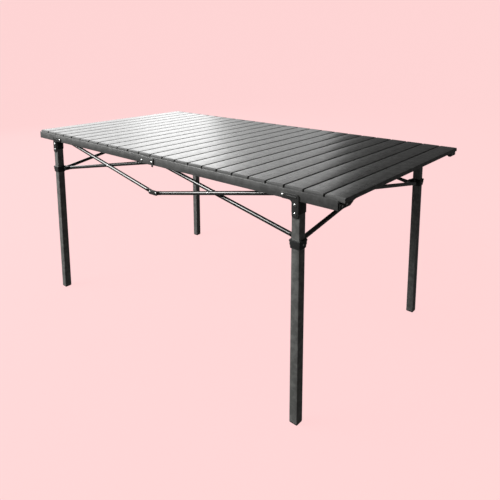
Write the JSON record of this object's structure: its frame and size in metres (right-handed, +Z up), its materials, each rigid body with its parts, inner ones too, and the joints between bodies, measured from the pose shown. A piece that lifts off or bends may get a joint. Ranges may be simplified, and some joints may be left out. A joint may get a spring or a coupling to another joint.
{
  "type": "folding table",
  "caption": "Long folding table: a roll-up top of aluminium slats on hinged side rails, four square legs and scissor braces with sliding collars.",
  "frame": {"origin": "on the floor under the middle of the top, at the middle of the bounding box", "axes": "+X along the table, +Y across it towards the far side, +Z up"},
  "size_m": [1.4, 0.7586, 0.63],
  "materials": {
    "slat": "satin dark grey anodised, fine grain along the slat",
    "rail": "satin dark grey anodised",
    "leg": "dark grey satin coating",
    "bracket": "dark grey coating",
    "brace": "glossy near-black coating",
    "link": "moulded black",
    "collar": "moulded black"
  },
  "bodies": {
    "leg_near_left": {"leg_near_left": "leg", "bracket_near_left": "bracket"},
    "leg_near_right": {"leg_near_right": "leg", "bracket_near_right": "bracket"},
    "leg_far_left": {"leg_far_left": "leg", "bracket_far_left": "bracket"},
    "leg_far_right": {"leg_far_right": "leg", "bracket_far_right": "bracket"},
    "rail_near_left": {"rail_near_left": "rail"},
    "rail_near_right": {"rail_near_right": "rail"},
    "rail_far_left": {"rail_far_left": "rail"},
    "rail_far_right": {"rail_far_right": "rail"},
    "rail_middle_link_near": {"rail_middle_link_near": "bracket"},
    "rail_middle_link_far": {"rail_middle_link_far": "bracket"},
    "long_brace_outer_near_left": {"long_brace_outer_near_left": "brace"},
    "long_brace_inner_near_left": {"long_brace_inner_near_left": "brace"},
    "collar_near_left": {"collar_near_left": "collar"},
    "long_brace_outer_near_right": {"long_brace_outer_near_right": "brace"},
    "long_brace_inner_near_right": {"long_brace_inner_near_right": "brace"},
    "collar_near_right": {"collar_near_right": "collar"},
    "long_brace_outer_far_left": {"long_brace_outer_far_left": "brace"},
    "long_brace_inner_far_left": {"long_brace_inner_far_left": "brace"},
    "collar_far_left": {"collar_far_left": "collar"},
    "long_brace_outer_far_right": {"long_brace_outer_far_right": "brace"},
    "long_brace_inner_far_right": {"long_brace_inner_far_right": "brace"},
    "collar_far_right": {"collar_far_right": "collar"},
    "brace_lower_link_near": {"brace_lower_link_near": "link"},
    "brace_upper_link_near": {"brace_upper_link_near": "link"},
    "brace_lower_link_far": {"brace_lower_link_far": "link"},
    "brace_upper_link_far": {"brace_upper_link_far": "link"},
    "short_brace_falling_left": {"short_brace_falling_left": "brace"},
    "short_brace_rising_left": {"short_brace_rising_left": "brace"},
    "short_brace_falling_right": {"short_brace_falling_right": "brace"},
    "short_brace_rising_right": {"short_brace_rising_right": "brace"},
    "top": {"slat_01": "slat", "slat_02": "slat", "slat_03": "slat", "slat_04": "slat", "slat_05": "slat", "slat_06": "slat", "slat_07": "slat", "slat_08": "slat", "slat_09": "slat", "slat_10": "slat", "slat_11": "slat", "slat_12": "slat", "slat_13": "slat", "slat_14": "slat", "slat_15": "slat", "slat_16": "slat", "slat_17": "slat", "slat_18": "slat", "slat_19": "slat", "slat_20": "slat", "slat_21": "slat", "slat_22": "slat", "slat_23": "slat", "slat_24": "slat"}
  },
  "joints": [
    {"name": "frame_fold", "type": "hinge", "parent": "leg_near_left", "child": "rail_near_left", "pos_m": [-0.534, -0.375, 0.609], "axis": [0, 1, 0], "range_deg": [0, 80]},
    {"name": "rail_middle_left_pin_near", "type": "hinge", "parent": "rail_near_left", "child": "rail_middle_link_near", "pos_m": [-0.0245, -0.375, 0.609], "axis": [0, 1, 0], "range_deg": [-80, 0]},
    {"name": "rail_middle_right_pin_near", "type": "hinge", "parent": "rail_middle_link_near", "child": "rail_near_right", "pos_m": [0.0245, -0.375, 0.609], "axis": [0, 1, 0], "range_deg": [-80, 0]},
    {"name": "rail_pivot_near_right", "type": "hinge", "parent": "rail_near_right", "child": "leg_near_right", "pos_m": [0.534, -0.375, 0.609], "axis": [0, 1, 0], "range_deg": [0, 80]},
    {"name": "short_brace_top_left", "type": "hinge", "parent": "leg_near_left", "child": "short_brace_falling_left", "pos_m": [-0.579, -0.3405, 0.6105], "axis": [1, 0, 0], "range_deg": [-49.8, 0]},
    {"name": "short_brace_crossing_left", "type": "hinge", "parent": "short_brace_falling_left", "child": "short_brace_rising_left", "pos_m": [-0.572, 0, 0.5505], "axis": [1, 0, 0], "range_deg": [0, 99.61]},
    {"name": "short_brace_far_left_pin", "type": "hinge", "parent": "short_brace_rising_left", "child": "leg_far_left", "pos_m": [-0.565, 0.3405, 0.6105], "axis": [1, 0, 0], "range_deg": [-49.8, 0]},
    {"name": "short_brace_top_right", "type": "hinge", "parent": "leg_near_right", "child": "short_brace_falling_right", "pos_m": [0.579, -0.3405, 0.6105], "axis": [1, 0, 0], "range_deg": [-49.8, 0]},
    {"name": "short_brace_crossing_right", "type": "hinge", "parent": "short_brace_falling_right", "child": "short_brace_rising_right", "pos_m": [0.572, 0, 0.5505], "axis": [1, 0, 0], "range_deg": [0, 99.61]},
    {"name": "rail_fold_far_left", "type": "hinge", "parent": "leg_far_left", "child": "rail_far_left", "pos_m": [-0.534, 0.375, 0.609], "axis": [0, 1, 0], "range_deg": [0, 80]},
    {"name": "rail_middle_left_pin_far", "type": "hinge", "parent": "rail_far_left", "child": "rail_middle_link_far", "pos_m": [-0.0245, 0.375, 0.609], "axis": [0, 1, 0], "range_deg": [-80, 0]},
    {"name": "rail_middle_right_pin_far", "type": "hinge", "parent": "rail_middle_link_far", "child": "rail_far_right", "pos_m": [0.0245, 0.375, 0.609], "axis": [0, 1, 0], "range_deg": [-80, 0]},
    {"name": "rail_pivot_far_right", "type": "hinge", "parent": "rail_far_right", "child": "leg_far_right", "pos_m": [0.534, 0.375, 0.609], "axis": [0, 1, 0], "range_deg": [0, 80]},
    {"name": "long_brace_top_near_left", "type": "hinge", "parent": "leg_near_left", "child": "long_brace_outer_near_left", "pos_m": [-0.55, -0.351, 0.6105], "axis": [0, 1, 0], "range_deg": [0, 66.62]},
    {"name": "long_brace_crossing_near_left", "type": "hinge", "parent": "long_brace_outer_near_left", "child": "long_brace_inner_near_left", "pos_m": [-0.2504, -0.351, 0.5505], "axis": [0, 1, 0], "range_deg": [-133.24, 0]},
    {"name": "collar_pin_near_left", "type": "hinge", "parent": "long_brace_inner_near_left", "child": "collar_near_left", "pos_m": [-0.55, -0.335, 0.4905], "axis": [0, 1, 0], "range_deg": [0, 66.62]},
    {"name": "long_brace_top_near_right", "type": "hinge", "parent": "leg_near_right", "child": "long_brace_outer_near_right", "pos_m": [0.55, -0.351, 0.6105], "axis": [0, 1, 0], "range_deg": [-66.62, 0]},
    {"name": "long_brace_crossing_near_right", "type": "hinge", "parent": "long_brace_outer_near_right", "child": "long_brace_inner_near_right", "pos_m": [0.2504, -0.351, 0.5505], "axis": [0, 1, 0], "range_deg": [0, 133.24]},
    {"name": "collar_pin_near_right", "type": "hinge", "parent": "long_brace_inner_near_right", "child": "collar_near_right", "pos_m": [0.55, -0.335, 0.4905], "axis": [0, 1, 0], "range_deg": [-66.62, 0]},
    {"name": "long_brace_top_far_left", "type": "hinge", "parent": "leg_far_left", "child": "long_brace_outer_far_left", "pos_m": [-0.55, 0.351, 0.6105], "axis": [0, 1, 0], "range_deg": [0, 66.62]},
    {"name": "long_brace_crossing_far_left", "type": "hinge", "parent": "long_brace_outer_far_left", "child": "long_brace_inner_far_left", "pos_m": [-0.2504, 0.351, 0.5505], "axis": [0, 1, 0], "range_deg": [-133.24, 0]},
    {"name": "collar_pin_far_left", "type": "hinge", "parent": "long_brace_inner_far_left", "child": "collar_far_left", "pos_m": [-0.55, 0.335, 0.4905], "axis": [0, 1, 0], "range_deg": [0, 66.62]},
    {"name": "long_brace_top_far_right", "type": "hinge", "parent": "leg_far_right", "child": "long_brace_outer_far_right", "pos_m": [0.55, 0.351, 0.6105], "axis": [0, 1, 0], "range_deg": [-66.62, 0]},
    {"name": "long_brace_crossing_far_right", "type": "hinge", "parent": "long_brace_outer_far_right", "child": "long_brace_inner_far_right", "pos_m": [0.2504, 0.351, 0.5505], "axis": [0, 1, 0], "range_deg": [0, 133.24]},
    {"name": "collar_pin_far_right", "type": "hinge", "parent": "long_brace_inner_far_right", "child": "collar_far_right", "pos_m": [0.55, 0.335, 0.4905], "axis": [0, 1, 0], "range_deg": [-66.62, 0]},
    {"name": "lower_link_pin_near", "type": "hinge", "parent": "long_brace_outer_near_left", "child": "brace_lower_link_near", "pos_m": [-0.015, -0.351, 0.50336], "axis": [0, 1, 0], "range_deg": [-66.62, 0]},
    {"name": "upper_link_pin_near", "type": "hinge", "parent": "long_brace_inner_near_left", "child": "brace_upper_link_near", "pos_m": [-0.015, -0.335, 0.59764], "axis": [0, 1, 0], "range_deg": [0, 66.62]},
    {"name": "lower_link_pin_far", "type": "hinge", "parent": "long_brace_outer_far_left", "child": "brace_lower_link_far", "pos_m": [-0.015, 0.351, 0.50336], "axis": [0, 1, 0], "range_deg": [-66.62, 0]},
    {"name": "upper_link_pin_far", "type": "hinge", "parent": "long_brace_inner_far_left", "child": "brace_upper_link_far", "pos_m": [-0.015, 0.335, 0.59764], "axis": [0, 1, 0], "range_deg": [0, 66.62]},
    {"name": "top_lift", "type": "slide", "parent": "leg_near_left", "child": "top", "axis": [0, 0, 1], "range_m": [0, 0.3361]}
  ],
  "couplings": [
    {"joint": "rail_middle_left_pin_near", "follows": "frame_fold", "ratio": -1},
    {"joint": "rail_middle_right_pin_near", "follows": "frame_fold", "ratio": -1},
    {"joint": "rail_pivot_near_right", "follows": "frame_fold", "ratio": 1},
    {"joint": "short_brace_top_left", "follows": "frame_fold", "ratio": -0.62253},
    {"joint": "short_brace_crossing_left", "follows": "frame_fold", "ratio": 1.2451},
    {"joint": "short_brace_far_left_pin", "follows": "frame_fold", "ratio": -0.62253},
    {"joint": "short_brace_top_right", "follows": "frame_fold", "ratio": -0.62253},
    {"joint": "short_brace_crossing_right", "follows": "frame_fold", "ratio": 1.2451},
    {"joint": "rail_fold_far_left", "follows": "frame_fold", "ratio": 1},
    {"joint": "rail_middle_left_pin_far", "follows": "frame_fold", "ratio": -1},
    {"joint": "rail_middle_right_pin_far", "follows": "frame_fold", "ratio": -1},
    {"joint": "rail_pivot_far_right", "follows": "frame_fold", "ratio": 1},
    {"joint": "long_brace_top_near_left", "follows": "frame_fold", "ratio": 0.83273},
    {"joint": "long_brace_crossing_near_left", "follows": "frame_fold", "ratio": -1.6655},
    {"joint": "collar_pin_near_left", "follows": "frame_fold", "ratio": 0.83273},
    {"joint": "long_brace_top_near_right", "follows": "frame_fold", "ratio": -0.83273},
    {"joint": "long_brace_crossing_near_right", "follows": "frame_fold", "ratio": 1.6655},
    {"joint": "collar_pin_near_right", "follows": "frame_fold", "ratio": -0.83273},
    {"joint": "long_brace_top_far_left", "follows": "frame_fold", "ratio": 0.83273},
    {"joint": "long_brace_crossing_far_left", "follows": "frame_fold", "ratio": -1.6655},
    {"joint": "collar_pin_far_left", "follows": "frame_fold", "ratio": 0.83273},
    {"joint": "long_brace_top_far_right", "follows": "frame_fold", "ratio": -0.83273},
    {"joint": "long_brace_crossing_far_right", "follows": "frame_fold", "ratio": 1.6655},
    {"joint": "collar_pin_far_right", "follows": "frame_fold", "ratio": -0.83273},
    {"joint": "lower_link_pin_near", "follows": "frame_fold", "ratio": -0.83273},
    {"joint": "upper_link_pin_near", "follows": "frame_fold", "ratio": 0.83273},
    {"joint": "lower_link_pin_far", "follows": "frame_fold", "ratio": -0.83273},
    {"joint": "upper_link_pin_far", "follows": "frame_fold", "ratio": 0.83273},
    {"joint": "top_lift", "follows": "frame_fold", "m_per_rad": 0.24}
  ]
}
